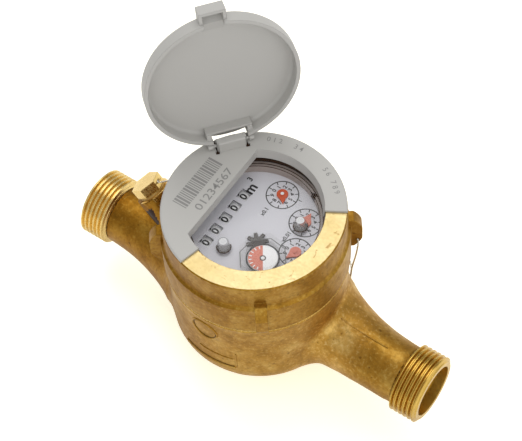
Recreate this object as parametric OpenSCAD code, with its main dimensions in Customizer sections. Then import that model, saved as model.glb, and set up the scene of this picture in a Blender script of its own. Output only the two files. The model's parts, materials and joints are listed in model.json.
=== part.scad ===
// Multi-jet domestic water meter with a brass body, a screwed head ring and a hinged lid.
// The origin is the centre of the base. X runs along the pipe from inlet to outlet, Z is up.

/* [Body] */
// Overall length over the threaded ends
body_len = 190; // [186:1:196]
// Height of the pipe axis above the base
axis_h = 36; // [35:0.5:40]
// Outer radius of the bowl at its waist
bowl_r = 41.3; // [41:0.1:42]
// Outer radius of the plain pipe behind each thread
pipe_r = 14.2; // [13.8:0.1:14.6]
// Plan angle by which each pipe's flare leans to one side
flare_lean = 5.5; // [4:0.5:7]

/* [Pipe ends] */
// Major radius of the end threads
thread_r = 16.62; // [16.4:0.01:16.9]
// Length of each end thread
thread_len = 14; // [13.9:0.1:16]
// Distance between thread crests
thread_pitch = 2.309; // [2.1:0.001:2.31]
// Radius of the water way through the pipes
bore_r = 10; // [9.6:0.1:10.2]
// Radius of the counterbore at each end face
end_bore_r = 12.7; // [12.5:0.1:13]

/* [Head ring] */
// Height of the ring's top face above the pipe axis
ring_top = 70.9; // [70.5:0.1:72]
// Height of the seam between body and ring above the pipe axis
seam_h = 37.1; // [36:0.1:38]
// Radius of the ring's top opening
ring_open_r = 31.5; // [31.3:0.1:31.8]
// Direction of the first of the four spanner ribs
rib_dir = -52; // [-56:1:-48]
// How far the ribs stand out of the ring
rib_out = 6.3; // [5.5:0.1:7]
// Width of each rib
rib_w = 5.4; // [5:0.1:6]

/* [Collar and lid] */
// Thickness of the collar's top plate
collar_t = 1.2; // [1:0.1:1.4]
// X of the straight edge of the cover plate
chord_x = -16.3; // [-17:0.1:-16]
// Direction of the lid's hinge, seen from above
hinge_dir = 141; // [138:1:144]
// Radius at which the hinge axis lies
hinge_reach = 35.9; // [35.8:0.1:36.4]
// Outer radius of the lid
lid_r = 34.9; // [34.5:0.1:34.9]
// Height of the lid
lid_h = 8; // [7.5:0.1:8.5]
// Wall thickness of the lid
lid_wall = 1.8; // [1.6:0.1:2]
// Angle at which the lid stands open
lid_open = 100.6; // [95:0.1:101]

/* [Register] */
// Radius of the number rollers
roller_r = 6.2; // [6:0.1:6.2]
// Distance between number rollers
roller_pitch = 7.27; // [7.2:0.01:7.3]
// X of the roller shaft
roller_x = -13.5; // [-13.6:0.1:-13.4]
// Width of every gear in the train
gear_w = 1.3; // [1.2:0.05:1.4]

/* [Measuring chamber] */
// Outer radius of the jet chamber
chamber_r = 28; // [27.5:0.1:28.1]
// Radius of the impeller over its vanes
impeller_r = 21; // [19:0.5:22]
// Number of impeller vanes
vane_count = 8; // [6:1:10]
// Number of jets, and of outlet ports
jet_count = 10; // [8:1:12]

/* [Regulating plug] */
// Distance of the plug's head seat from the bowl's side
plug_out = 18.4; // [17.7:0.1:19.7]
// Height of the plug's head seat above the pipe axis
plug_h = 37.8; // [37.5:0.1:38.5]
// Lean of the plug towards the inlet
plug_lean = 42; // [40:1:44]
// Width of the plug's hexagon across flats
plug_af = 13; // [12:0.5:14]

/* [Hidden] */
$fn = 64;
BRASS = [0.72, 0.55, 0.25];
STEEL = [0.75, 0.76, 0.78];
GREY = [0.74, 0.74, 0.73];
DARK = [0.2, 0.2, 0.22];
PALE = [0.83, 0.83, 0.86];
RED = [0.8, 0.2, 0.1];
CLEAR = [0.85, 0.9, 0.92, 0.4];
WHITE = [0.92, 0.92, 0.92];

// Clearance between pieces that must not touch, and in running fits
gap = 0.3;
run = 0.05;

// Edge break of the casting and of the turned faces
edge = 0.5;
// How far a cut runs past the face it starts from
past = 1;

// Stack of the register from the ring's top face down, as heights above the pipe axis
lip_t = 3.4;
slip_t = 0.7;
glass_t = 2.8;
gasket_t = 1.8;
rim_h = 4.2;
dial_t = 1;
train_h = 33;
floor_t = 2.5;
lip_z = ring_top - lip_t;
slip_z = lip_z - slip_t;
glass_z = slip_z - glass_t;
rim_top = glass_z - gasket_t;
dial_h = rim_top - rim_h;
housing_floor = dial_h - train_h;

// Casting profile
base_r = 20;
foot_round = 9;
belly_round = 17.6;
belly_slope = 27.8;
belly_z = -2;
waist_top = 20;
shoulder_z = 33;
ring_r = bowl_r - 0.1;
shoulder_r = ring_r + 1.3;
neck_r = ring_r - 2.8;
neck_top = glass_z - 3;
base_t = 6;
wall_t = 5.8;
cavity_r = 35.8;
cavity_floor = base_t - axis_h;
floor_r = 19;
floor_edge_r = 25;
floor_edge = 2.5;
gallery_r = bowl_r - wall_t;
gallery_z = -9;
ledge_half = 2;
ledge_open_r = chamber_r + gap;

// Ribs of the head ring
rib_r = ring_r + rib_out;
rib_top = 60;
rib_low = 39.5;
rib_round = 14.5;
ring_step = 14.6;

// Pipe and thread
thread_depth = 1.48;
thread_start = body_len / 2 - thread_len;
thread_count = floor(thread_len / thread_pitch);
end_bore_depth = 6;
flare_big_r = 21.5;
flare_start = body_len / 2 - 17;
flare_run = 44;
flare_power = 2.6;
flare_root = 20;
flare_steps = 8;
port_r = 8.5;
port_out = 55;
port_in = 28;
port_drop = 13;
port_back = 5;

// Radii of the register
housing_r = cavity_r - gap;
train_r = 30.2;
dial_r = 31.5;
rim_open_r = 28.7;
glass_r = housing_r;
drive_shaft_r = 1.5;

// Collar
collar_r = ring_r - 0.1;
collar_z = ring_top;
collar_top = ring_top + collar_t;
collar_arc = [30.5, 255];
skirt_r = ring_open_r - gap;
skirt_t = 1.1;
skirt_z = slip_z + gap;
slit_x = 33.1;
slit_w = 0.6;
slit_end = 1.8;

// Hinge
hinge_z = collar_top + 1.6;
hinge_pin_r = 0.7;
knuckle_out = 2.3;
knuckle_in = 3;
knuckle_top = 4.2;
knuckle_back = 1.3;
barrel_half = 7.6;
ear_r = 1.3;
ear_in = 8.3;
ear_out = 10.6;

// Gear train places: impeller, star, sweep disc and the three dial arbors
hub_at = [0, 0];
stage_span = 36;
star_at = [6.3, -7.2];
sweep_at = [13.4, -13.2];
dial_at = [[23, -2.1], [18, 13.2], [1.1, 19.9]];
arbor_r = 0.7;
drive_teeth = 12;
star_teeth = 24;
sweep_teeth = 24;
pinion_teeth = 10;
idler_teeth = 30;
slow_teeth = 9;
wheel_teeth = 30;
tooth_out = 0.85;
tooth_in = 1.15;
level_0 = housing_floor + floor_t + 0.9;
level_step = gear_w + 0.65;
idler_at = [idler_point(0), idler_point(1), idler_point(2)];
plate_z = level_0 + 8 * level_step + 0.3;
plate_t = 1.2;
pillar_at = [[2, -26.3], [27.3, 9.8], [-0.6, 6.3]];
pillar_r = 1.2;
arbor_low = housing_floor + 0.9;
plate_edge_x = -1.8;

// Rollers and carry pinions
roller_w = 5.2;
roller_count = 5;
roller_mid_y = -4.1;
roller_z = dial_h - dial_t - 0.4 - roller_r;
roller_teeth = 20;
carry_teeth = 8;
carry_reach = 8.2;
carry_module = 2 * carry_reach / (roller_teeth + carry_teeth);
carry_x = roller_x + carry_reach;
carry_w = 0.8;
shaft_r = 1;
plate_w = 1.2;
shaft_low = roller_y(0) - roller_w / 2 - gap - plate_w;
shaft_high = roller_y(roller_count - 1) + roller_w / 2 + carry_w + plate_w + 4 * gap;
worm_z = roller_z;
worm_len = 8;
worm_reach = dial_at[2].x - carry_x;
worm_module = 0.9;
worm_starts = 2;
worm_r = worm_reach - carry_teeth * worm_module / 2;

// Measuring chamber, as heights above the pipe axis
chamber_floor = -22;
cover_t = 3;
chamber_top = housing_floor - cover_t;
chamber_wall = 3;
pivot_r = 1;
pivot_z = chamber_floor + 0.5;
pivot_len = 9.4;

// Plug, its boss and the screw under it, as depths along the plug's axis
plug_x = -bowl_r - plug_out;
plug_turn = -2;
plug_head = 5;
plug_r = 4.9;
plug_len = 8;
seal_t = 1;
seal_r = 6.6;
boss_r = 8.6;
boss_len = 25;
screw_r = 2.9;
screw_top = 12;
screw_len = 10;
screw_tip = 3;
screw_hole = 39;
bypass_x = -bowl_r - 4.7;
bypass_r = 2;

// Seal wire
wire_r = 0.55;
wire_hole_r = 0.8;
wire_hole_z = 44.5;
wire_hole_reach = bowl_r + 4.1;
wire_steps = 5;
wire_sides = 8;
// Places of the wire at the plug, from the centre of the head's seat
wire_start = [[-0.2, 5, 3.2], [1.6, 3.5, 4.8], [3.3, 2.1, 6.3], [6.2, 4, 6.8], [8.7, 10, 4.2]];
// Places of the wire round the back: direction, distance from the bowl, height above the pipe axis
wire_back = [[155.9, 10.2, 34], [136.5, 11, 20], [108.8, 8.3, 6], [80.5, 7.4, -3], [59, 5.3, -6],
    [42.3, 1.2, 2], [39, 1.9, 16], [35.9, 3.4, 30], [33.6, 4.2, 41], [34.4, 4.2, wire_hole_z],
    [36.8, 4.1, wire_hole_z], [40.5, 4.1, wire_hole_z]];
wire_route = concat(
    [for (p = wire_start) p + [plug_x, 0, axis_h + plug_h]],
    [for (p = wire_back) [(bowl_r + p[1]) * cos(p[0]), (bowl_r + p[1]) * sin(p[0]), axis_h + p[2]]]);

// Points on an arc about (x, y)
function arc(x, y, r, from, to, n) =
    [for (i = [0:n]) let (a = from + (to - from) * i / n) [x + r * cos(a), y + r * sin(a)]];

// Direction and distance from one place to another
function heading(a, b) = atan2(b.y - a.y, b.x - a.x);
function span(a, b) = norm(b - a);

// Tooth modules of the two fast stages
function star_module() = 2 * span(hub_at, star_at) / (drive_teeth + star_teeth);
function sweep_module() = 2 * span(star_at, sweep_at) / (pinion_teeth + sweep_teeth);

// Place before each dial arbor in the train, and the tooth module of that stage
function driver_at(i) = i == 0 ? sweep_at : dial_at[i - 1];
function stage_module(i) = span(driver_at(i), dial_at[i]) / stage_span;

// Idler on the inner side of the line between two arbors
function idler_point(i) =
    let (a = driver_at(i), b = dial_at[i], d = span(a, b), m = stage_module(i),
        ra = (pinion_teeth + idler_teeth) * m / 2, rb = (slow_teeth + wheel_teeth) * m / 2,
        along = (d * d + ra * ra - rb * rb) / (2 * d), side = sqrt(ra * ra - along * along),
        u = (b - a) / d)
    a + u * along + [-u.y, u.x] * side;

// Turn of a driven gear that puts a gap against its driver's tooth
function mesh_turn(from, to, turn, teeth_a, teeth_b) =
    heading(from, to) + 180 + 180 / teeth_b - (turn - heading(from, to)) * teeth_a / teeth_b;

// Outline of a gear with straight-flanked teeth and plenty of backlash
function gear_points(teeth, module_mm) =
    let (r = teeth * module_mm / 2, step = 360 / teeth)
    [for (i = [0:teeth - 1], k = [[-tooth_in, -0.3], [tooth_out, -0.12], [tooth_out, 0.12], [-tooth_in, 0.3]])
        let (a = (i + k[1]) * step) (r + k[0] * module_mm) * [cos(a), sin(a)]];

// Height of a gear level above the pipe axis
function level(i) = level_0 + i * level_step;

// Y of a number roller, the highest digit first
function roller_y(i) = roller_mid_y + (i - (roller_count - 1) / 2) * roller_pitch;

// Smooth curve through four points
function blend(a, b, c, d, t) =
    0.5 * (2 * b + (c - a) * t + (2 * a - 5 * b + 4 * c - d) * t * t + (3 * b - a - 3 * c + d) * t * t * t);

module at_axis() {
    translate([0, 0, axis_h]) children();
}

// Along the outlet's direction, with heights turned into X
module along_x() {
    rotate([0, 90, 0]) children();
}

module both_ends() {
    children();
    rotate(180) children();
}

module gear(at, lev, teeth, module_mm, turn) {
    translate([at.x, at.y, axis_h + level(lev)])
        rotate(turn)
            linear_extrude(gear_w) polygon(gear_points(teeth, module_mm));
}

module arbor(at, from, to) {
    translate([at.x, at.y, axis_h + from]) cylinder(r = arbor_r, h = to - from);
}

// Hole that an arbor runs in
module arbor_hole(at, from, to) {
    translate([at.x, at.y, axis_h + from]) cylinder(r = arbor_r + run, h = to - from);
}

module ring(r_out, r_in, z, h) {
    at_axis() translate([0, 0, z]) difference() {
        cylinder(r = r_out, h = h);
        translate([0, 0, -1]) cylinder(r = r_in, h = h + 2);
    }
}

// Wedge between two directions
module sector(from, to, r, h) {
    steps = ceil((to - from) / 40);
    linear_extrude(h) polygon(concat([[0, 0]], arc(0, 0, r, from, to, steps)));
}

// Bowl, shoulder and threaded neck
module bowl() {
    rotate_extrude() polygon(concat(
        [[0, -axis_h], [base_r, -axis_h]],
        arc(base_r, foot_round - axis_h, foot_round, -75, -belly_slope, 4),
        arc(bowl_r - belly_round, belly_z, belly_round, -belly_slope, 0, 5),
        [[bowl_r, waist_top], [shoulder_r - edge, shoulder_z], [shoulder_r, seam_h - edge]],
        [[shoulder_r - edge, seam_h], [neck_r, seam_h], [neck_r, neck_top], [0, neck_top]]));
}

// Trumpet that blends a pipe into the bowl
module flare() {
    small_r = pipe_r - edge / 2;
    translate([flare_start, 0, 0]) rotate(-flare_lean) translate([-flare_start, 0, 0])
        along_x() rotate_extrude() polygon(concat(
            [[0, flare_root], [flare_big_r, flare_root]],
            [for (i = [0:flare_steps]) let (t = i / flare_steps)
                [small_r + (flare_big_r - small_r) * pow(1 - t, flare_power),
                    flare_start - flare_run * (1 - t)]],
            [[0, flare_start]]));
}

module thread() {
    root = thread_r - thread_depth;
    ridge = thread_pitch * 0.28;
    land = thread_pitch * 0.22;
    lead = 0.15;
    back = 4;
    chamfer = 0.3;
    along_x() rotate_extrude() polygon(concat(
        [[0, thread_start - back], [pipe_r, thread_start - back]],
        [[pipe_r, thread_start - edge], [root, thread_start]],
        [for (i = [0:thread_count - 1], k = [[0, 0], [thread_depth, ridge], [thread_depth, ridge + land],
            [0, 2 * ridge + land]]) [root + k[0], thread_start + lead + i * thread_pitch + k[1]]],
        [[root, body_len / 2 - chamfer], [root - chamfer, body_len / 2], [0, body_len / 2]]));
}

// Straight water way, with a counterbore at the end face
module water_way() {
    bore_start = port_out - port_back;
    along_x() {
        translate([0, 0, bore_start]) cylinder(r = bore_r, h = body_len / 2 - bore_start + past);
        translate([0, 0, body_len / 2 - end_bore_depth]) cylinder(r = end_bore_r, h = end_bore_depth + past);
    }
}

// Slanted port between the pipe and one gallery
module port(rise) {
    slope = atan2(port_out - port_in, rise);
    port_len = norm([port_out - port_in, rise]);
    translate([port_out, 0, 0]) rotate([0, -slope, 0])
        translate([0, 0, -port_back / 2]) cylinder(r = port_r, h = port_len + port_back / 2);
}

module plug_frame() {
    translate([plug_x, 0, axis_h + plug_h]) rotate([0, -plug_lean, 0]) children();
}

module body() {
    color(BRASS) difference() {
        union() {
            at_axis() {
                bowl();
                both_ends() {
                    flare();
                    along_x() cylinder(r = pipe_r, h = thread_start);
                    thread();
                }
            }
            plug_frame() translate([0, 0, -seal_t - boss_len]) cylinder(r = boss_r, h = boss_len);
        }
        at_axis() {
            rotate_extrude() polygon([[0, cavity_floor], [floor_r, cavity_floor],
                [floor_edge_r, cavity_floor + floor_edge], [gallery_r, gallery_z],
                [gallery_r, -ledge_half], [ledge_open_r, -ledge_half],
                [ledge_open_r, ledge_half], [cavity_r, ledge_half],
                [cavity_r, neck_top + past], [0, neck_top + past]]);
            both_ends() water_way();
            port(port_drop);
            rotate(180) port(-port_drop);
            translate([bypass_x, 0, -bypass_r]) cylinder(r = bypass_r, h = waist_top + 2 * bypass_r);
        }
        plug_frame() {
            translate([0, 0, -plug_len - past]) cylinder(r = plug_r + 2 * run, h = plug_len + past);
            translate([0, 0, -screw_hole]) cylinder(r = screw_r + 2 * run, h = screw_hole - plug_len);
        }
    }
}

// Place of one of the four ribs, its own X pointing outwards
module rib_frame(i) {
    rotate(rib_dir + 90 * i) children();
}

module head_ring() {
    step_z = ring_top - ring_step;
    bore = neck_r + gap;
    rib_run = rib_r - bore - past;
    color(BRASS) at_axis() difference() {
        union() {
            rotate_extrude() polygon([[bore, seam_h + gap], [shoulder_r - edge, seam_h + gap],
                [shoulder_r, seam_h + gap + edge], [shoulder_r, step_z - 2 * edge],
                [ring_r + edge / 2, step_z], [ring_r, step_z + 2 * edge],
                [ring_r, ring_top - edge], [ring_r - edge, ring_top],
                [ring_open_r + run, ring_top], [ring_open_r, ring_top - run],
                [ring_open_r, lip_z], [bore, lip_z]]);
            for (i = [0:3]) rib_frame(i) translate([bore + past, -rib_w / 2, rib_low]) intersection() {
                cube([rib_run, rib_w, rib_top - rib_low]);
                translate([rib_run - rib_round + edge, rib_w + past, (rib_top - rib_low) / 2])
                    rotate([90, 0, 0]) cylinder(r = rib_round, h = rib_w + 2 * past);
            }
        }
        rib_frame(1) translate([wire_hole_reach, -rib_w, wire_hole_z]) rotate([-90, 0, 0])
            cylinder(r = wire_hole_r, h = 2 * rib_w);
    }
}

module slip_ring() {
    color(DARK) ring(glass_r, ring_open_r + gap, slip_z, slip_t);
}

// Clear cover with two hold-down posts and a hood round the sweep disc
module glass() {
    post_z = dial_h + 1.7;
    post_at = [[-4.4, -17.7], [17.7, 9.8]];
    post_r = [3, 2.35];
    sunk = 0.5;
    hood_z = dial_h + 2;
    hood_r = 11;
    hood_hole = 7.3;
    hood_turn = 15;
    color(CLEAR) at_axis() {
        translate([0, 0, glass_z]) cylinder(r = glass_r, h = glass_t);
        for (p = post_at) translate([p.x, p.y, post_z])
            cylinder(r1 = post_r[0], r2 = post_r[1], h = glass_z + sunk - post_z);
        difference() {
            intersection() {
                translate([sweep_at.x, sweep_at.y, hood_z]) rotate(hood_turn)
                    cylinder(r = hood_r, h = glass_z + sunk - hood_z, $fn = 8);
                cylinder(r = rim_open_r - gap, h = ring_top);
            }
            translate([sweep_at.x, sweep_at.y, hood_z - past])
                cylinder(r = hood_hole, h = glass_z - hood_z + past);
        }
    }
}

module glass_gasket() {
    color(DARK) ring(glass_r, dial_r + gap, rim_top, gasket_t);
}

// Grey plastic collar with the cover plate, the inner skirt and the hinge tongue
module collar() {
    slit_y = barrel_half - slit_w;
    tongue_half = slit_y - slit_w / 2;
    color(GREY) at_axis() difference() {
        union() {
            intersection() {
                rotate_extrude() polygon([[skirt_r - skirt_t, skirt_z], [skirt_r, skirt_z],
                    [skirt_r, collar_z], [collar_r, collar_z], [collar_r, collar_top - edge],
                    [collar_r - edge, collar_top], [skirt_r - run, collar_top]]);
                sector(collar_arc[0], collar_arc[1], 2 * collar_r, 2 * collar_top);
            }
            intersection() {
                union() {
                    translate([0, 0, collar_z]) cylinder(r = skirt_r, h = collar_t);
                    translate([chord_x - skirt_t, -skirt_r, skirt_z])
                        cube([skirt_t, 2 * skirt_r, collar_z - skirt_z + run]);
                }
                translate([0, 0, skirt_z]) cylinder(r = skirt_r, h = collar_top - skirt_z);
                translate([chord_x - collar_r, -collar_r, 0]) cube([collar_r, 2 * collar_r, 2 * collar_top]);
            }
            rotate(hinge_dir) {
                translate([hinge_reach, tongue_half, hinge_z]) rotate([90, 0, 0])
                    linear_extrude(2 * tongue_half) polygon([[-knuckle_in, collar_z - hinge_z],
                        [-knuckle_in, knuckle_top - edge], [-knuckle_in + edge, knuckle_top],
                        [edge, knuckle_top], [knuckle_out, knuckle_back],
                        [knuckle_out, collar_z - hinge_z]]);
            }
        }
        rotate(hinge_dir) {
            translate([hinge_reach, 2 * ear_out, hinge_z]) rotate([90, 0, 0])
                cylinder(r = hinge_pin_r, h = 4 * ear_out);
            for (s = [-1, 1]) translate([slit_x, s * slit_y, collar_z - past]) {
                translate([-slit_end / 2, -slit_end / 2, 0]) cube([slit_end, slit_end, collar_r]);
                translate([0, -slit_w / 2, 0]) cube([collar_r - slit_x + past, slit_w, collar_r]);
            }
        }
    }
}

// Lid in its closed place, its own X pointing at the hinge, before it is turned open
module lid_closed() {
    rim_z = collar_top + gap;
    top_z = rim_z + lid_h;
    round_r = 2.5;
    tab_half = 6;
    tab_reach = lid_r + 5;
    tab_in = lid_r - lid_wall - edge;
    tab_h = 6;
    tab_z = top_z - tab_h - edge;
    scoop_wall = 1.5;
    scoop_half = tab_half - scoop_wall;
    scoop_floor = top_z - edge - scoop_wall;
    under_z = top_z - lid_wall;
    ridge_z = under_z - 2.5;
    ramp_end = tab_in - 6;
    notch_half = barrel_half + gap;
    notch_h = lid_h - lid_wall - gap + past;
    inner_round = 1.5;
    box_x = lid_r - 6.7;
    box_t = 1.2;
    ear_w = ear_out - ear_in;
    ear_x = box_x + box_t / 2;
    ear_h = top_z - lid_wall - hinge_z;
    difference() {
        union() {
            rotate_extrude() polygon(concat(
                [[lid_r - lid_wall, rim_z], [lid_r, rim_z]],
                arc(lid_r - round_r, top_z - round_r, round_r, 0, 90, 5),
                [[0, top_z], [0, top_z - lid_wall]],
                arc(lid_r - lid_wall - inner_round, top_z - lid_wall - inner_round, inner_round, 90, 0, 3)));
            translate([-tab_reach, -tab_half, tab_z]) cube([tab_reach - tab_in, 2 * tab_half, tab_h]);
            translate([0, scoop_half, 0]) rotate([90, 0, 0]) linear_extrude(2 * scoop_half)
                polygon([[-lid_r, ridge_z], [-tab_in, ridge_z], [-ramp_end, under_z], [-lid_r, under_z]]);
            for (s = [-1, 1]) translate([hinge_reach, s > 0 ? ear_out : -ear_in, hinge_z]) rotate([90, 0, 0])
                cylinder(r = ear_r, h = ear_w);
            for (s = [-1, 1]) translate([ear_x, s > 0 ? ear_in : -ear_out, hinge_z])
                cube([hinge_reach - ear_x, ear_w, ear_h]);
            translate([box_x, -ear_out, hinge_z + edge]) cube([box_t, 2 * ear_out, ear_h]);
        }
        translate([hinge_reach, 2 * ear_out, hinge_z]) rotate([90, 0, 0])
            cylinder(r = hinge_pin_r + run, h = 4 * ear_out);
        translate([box_x + box_t, -notch_half, rim_z - past]) cube([lid_r, 2 * notch_half, notch_h]);
        translate([0, scoop_half, 0]) rotate([90, 0, 0]) linear_extrude(2 * scoop_half)
            polygon([[-tab_reach + scoop_wall, rim_z - past], [-tab_reach + scoop_wall, scoop_floor],
                [-lid_r, scoop_floor], [-tab_in, ridge_z], [-tab_in + past, rim_z - past]]);
    }
}

module lid() {
    color(GREY) at_axis() rotate(hinge_dir)
        translate([hinge_reach, 0, hinge_z]) rotate([0, lid_open, 0]) translate([-hinge_reach, 0, -hinge_z])
            lid_closed();
}

module hinge_pin() {
    color(STEEL) at_axis() rotate(hinge_dir) translate([hinge_reach, ear_out, hinge_z]) rotate([90, 0, 0])
        cylinder(r = hinge_pin_r, h = 2 * ear_out);
}

// Cup that holds the gear train under the dial
module register_housing() {
    color(DARK) {
        difference() {
            at_axis() translate([0, 0, housing_floor]) cylinder(r = housing_r, h = rim_top - housing_floor);
            at_axis() {
                translate([0, 0, housing_floor + floor_t]) cylinder(r = train_r, h = train_h);
                translate([0, 0, dial_h - dial_t]) cylinder(r = dial_r + 2 * run, h = train_h);
                translate([0, 0, housing_floor - past])
                    cylinder(r = drive_shaft_r + run, h = floor_t + 2 * past);
            }
            for (p = concat([star_at, sweep_at], dial_at, idler_at))
                arbor_hole(p, arbor_low - run, housing_floor + floor_t + past);
        }
        for (p = pillar_at) at_axis() translate([p.x, p.y, housing_floor + floor_t - run])
            cylinder(r = pillar_r, h = plate_z - housing_floor - floor_t + run);
    }
}

module dial_plate() {
    window = [5.4, 4.6];
    color(PALE) difference() {
        at_axis() translate([0, 0, dial_h - dial_t]) cylinder(r = dial_r, h = dial_t);
        for (p = concat([star_at, sweep_at], dial_at)) arbor_hole(p, dial_h - dial_t - past, dial_h + past);
        for (i = [0:roller_count - 1]) translate([roller_x, roller_y(i), axis_h + dial_h])
            cube([window.x, window.y, 4 * dial_t], center = true);
    }
}

// Ring that holds the dial down, with a locating notch
module dial_rim() {
    notch_dir = 60;
    notch_r = 1.3;
    notch_h = rim_h / 3;
    color(PALE) difference() {
        ring(dial_r, rim_open_r, dial_h, rim_top - dial_h);
        at_axis() rotate(notch_dir) translate([rim_open_r, 0, rim_top - notch_h])
            cylinder(r = notch_r, h = 2 * notch_h);
    }
}

module bearing_plate() {
    color(BRASS) difference() {
        at_axis() translate([0, 0, plate_z]) intersection() {
            cylinder(r = train_r - gap, h = plate_t);
            translate([plate_edge_x, -train_r, -past]) cube([2 * train_r, 2 * train_r, plate_t + 2 * past]);
        }
        for (p = concat([star_at, sweep_at], dial_at, idler_at))
            arbor_hole(p, plate_z - past, plate_z + plate_t + past);
    }
}

// Turns children so that their Z lies along Y at the roller shaft's height
module along_y(x, y) {
    translate([x, y, axis_h + roller_z]) rotate([-90, 0, 0]) children();
}

// End plates under the dial that carry the roller and pinion shafts
module roller_bracket() {
    low = roller_z - 2.6 * shaft_r;
    rail_x = carry_x + 3.4;
    rail = [1.4, 1.4];
    top = dial_h - dial_t;
    begin_x = roller_x - 3.5 * shaft_r;
    // Each plate's Y, and the X at which it begins and ends
    plates = [[shaft_low, begin_x, rail_x], [shaft_high - plate_w, begin_x, rail_x],
        [dial_at[2].y + 1.5, carry_x - 2.7, carry_x + 2.6]];
    color(STEEL) difference() {
        at_axis() {
            for (p = plates) {
                translate([p[1], p[0], low]) cube([p[2] - p[1], plate_w, top - low]);
                translate([p[1], p[0], top - rail.y]) cube([rail_x + rail.x - p[1], plate_w, rail.y]);
            }
            translate([rail_x, plates[0][0], top - rail.y])
                cube([rail.x, plates[2][0] + plate_w - plates[0][0], rail.y]);
        }
        along_y(roller_x, -train_r) cylinder(r = shaft_r, h = 2 * train_r);
        along_y(carry_x, -train_r) cylinder(r = arbor_r, h = train_r);
        along_y(carry_x, 0) cylinder(r = arbor_r + run, h = train_r);
    }
}

module roller_shaft() {
    color(STEEL) along_y(roller_x, shaft_low) cylinder(r = shaft_r, h = shaft_high - shaft_low);
}

module pinion_shaft() {
    high_y = roller_y(roller_count - 1) + roller_w / 2 - 2 * gap;
    color(STEEL) along_y(carry_x, shaft_low) cylinder(r = arbor_r, h = high_y - shaft_low);
}

// Number roller with its gear on one side and its two carry teeth on the other
module roller(i) {
    carry_disc_r = carry_reach - (carry_teeth / 2 + 1) * carry_module - gap;
    carry_tooth = 0.7;
    color(WHITE) along_y(roller_x, roller_y(i) - roller_w / 2) difference() {
        union() {
            cylinder(r = roller_r, h = roller_w);
            translate([0, 0, roller_w - run]) rotate(180 / roller_teeth)
                linear_extrude(carry_w + run) polygon(gear_points(roller_teeth, carry_module));
            if (i > 0) translate([0, 0, -carry_w]) {
                cylinder(r = carry_disc_r, h = carry_w + run);
                for (a = [-1, 1]) rotate(180 + a * 180 / roller_teeth)
                    translate([shaft_r + past, -carry_tooth / 2, 0])
                        cube([roller_r - shaft_r - past, carry_tooth, carry_w + run]);
            }
        }
        translate([0, 0, -roller_w]) cylinder(r = shaft_r + run, h = 3 * roller_w);
    }
}

// Small pinion that passes the count from one roller to the next
module carry_pinion(i) {
    width = roller_pitch - roller_w - gap - 2 * run;
    mid = (roller_y(i) + roller_y(i + 1)) / 2;
    color(RED) along_y(carry_x, mid - width / 2) difference() {
        linear_extrude(width) polygon(gear_points(carry_teeth, carry_module));
        translate([0, 0, -past]) cylinder(r = arbor_r + run, h = width + 2 * past);
    }
}

// Worm wheel and pinion that turn the first roller
module drive_pinion() {
    from = roller_y(roller_count - 1) + roller_w / 2;
    wheel_w = 1.2;
    worm_y = dial_at[2].y;
    color(RED) {
        along_y(carry_x, from + 4 * run)
            linear_extrude(carry_w) polygon(gear_points(carry_teeth, carry_module));
        along_y(carry_x, from) cylinder(r = arbor_r, h = worm_y + 2.7 - from);
        along_y(carry_x, worm_y - wheel_w / 2) rotate(180 / carry_teeth)
            linear_extrude(wheel_w) polygon(gear_points(carry_teeth, worm_module));
    }
}

module star_wheel() {
    points = 8;
    star_t = 0.7;
    star_r = 5;
    color(DARK) at_axis() translate([star_at.x, star_at.y, dial_h + gap]) difference() {
        union() {
            cylinder(r = star_r * 0.6, h = star_t);
            for (i = [0:points - 1]) rotate(i * 360 / points) linear_extrude(star_t)
                polygon([[star_r * 0.4, -star_r * 0.2], [star_r, -star_r * 0.15], [star_r, star_r * 0.15],
                    [star_r * 0.4, star_r * 0.2]]);
        }
        translate([0, 0, -past]) cylinder(r = arbor_r, h = star_t + 2 * past);
    }
}

module star_arbor() {
    turn = mesh_turn(hub_at, star_at, 0, drive_teeth, star_teeth);
    color(BRASS) {
        arbor(star_at, arbor_low, dial_h + 1);
        gear(star_at, 0, star_teeth, star_module(), turn);
        gear(star_at, 1, pinion_teeth, sweep_module(), 0);
    }
}

module sweep_disc() {
    disc_r = 6.6;
    disc_t = 0.6;
    disc_lift = 1.5;
    color(WHITE) at_axis() translate([sweep_at.x, sweep_at.y, dial_h + disc_lift]) difference() {
        cylinder(r = disc_r, h = disc_t);
        translate([0, 0, -past]) cylinder(r = arbor_r, h = disc_t + 2 * past);
    }
}

module sweep_arbor() {
    turn = mesh_turn(star_at, sweep_at, 0, pinion_teeth, sweep_teeth);
    color(BRASS) {
        arbor(sweep_at, arbor_low, dial_h + 2.3);
        gear(sweep_at, 1, sweep_teeth, sweep_module(), turn);
        gear(sweep_at, 2, pinion_teeth, stage_module(0), 0);
    }
}

// Arbor of one dial, driven by the idler before it
module dial_arbor(i) {
    at = dial_at[i];
    turn = mesh_turn(idler_at[i], at, 0, slow_teeth, wheel_teeth);
    arbor(at, arbor_low, dial_h + 1.3);
    gear(at, 3 + 2 * i, wheel_teeth, stage_module(i), turn);
    if (i < 2) gear(at, 4 + 2 * i, pinion_teeth, stage_module(i + 1), 0);
}

module worm() {
    turns = 360 * worm_len / (worm_starts * PI * worm_module);
    root = worm_r - worm_module;
    at_axis() translate([dial_at[2].x, dial_at[2].y, worm_z - worm_len / 2])
        linear_extrude(worm_len, twist = turns, slices = 14) union() {
            circle(r = root, $fn = 16);
            for (i = [0:worm_starts - 1]) rotate(i * 360 / worm_starts + 180 + turns / 2)
                polygon([[0, -root * 0.6], [worm_r + edge, -edge], [worm_r + edge, edge], [0, root * 0.6]]);
        }
}

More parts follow.
